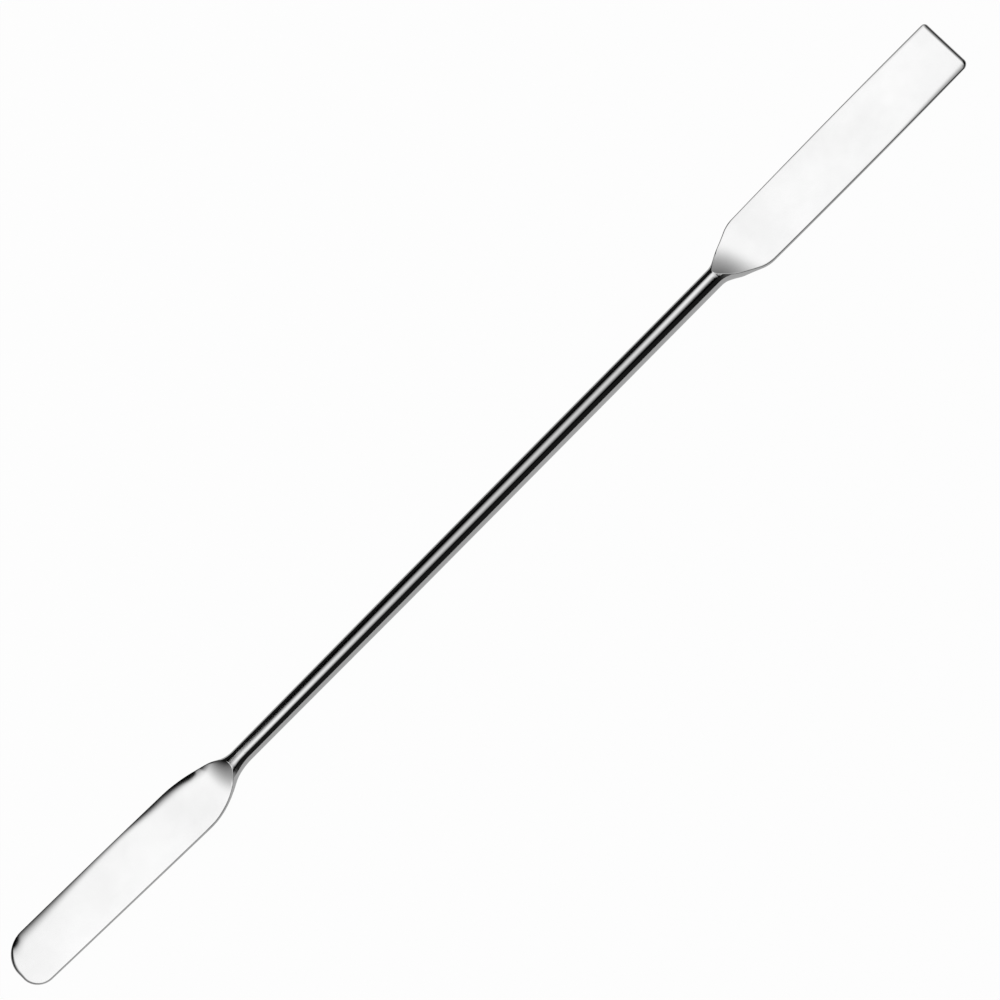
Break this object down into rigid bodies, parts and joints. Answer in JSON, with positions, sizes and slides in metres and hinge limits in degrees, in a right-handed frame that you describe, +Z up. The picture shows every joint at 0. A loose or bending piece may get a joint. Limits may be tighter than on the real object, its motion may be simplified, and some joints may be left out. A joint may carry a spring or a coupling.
{
  "type": "lab spatula",
  "caption": "Slim double-ended laboratory spatula: a round metal bar, flattened to a round-nosed blade at one end and a square-ended blade at the other.",
  "frame": {"origin": "under the middle of the length, on the surface that the handle rests on", "axes": "+X along the handle to the square blade, +Y across the blades, whose faces lie 13 degrees off level, +Z up"},
  "size_m": [0.185, 0.0096, 0.003],
  "materials": {
    "steel": "polished"
  },
  "bodies": {
    "root": {"spatula": "steel"}
  },
  "joints": []
}
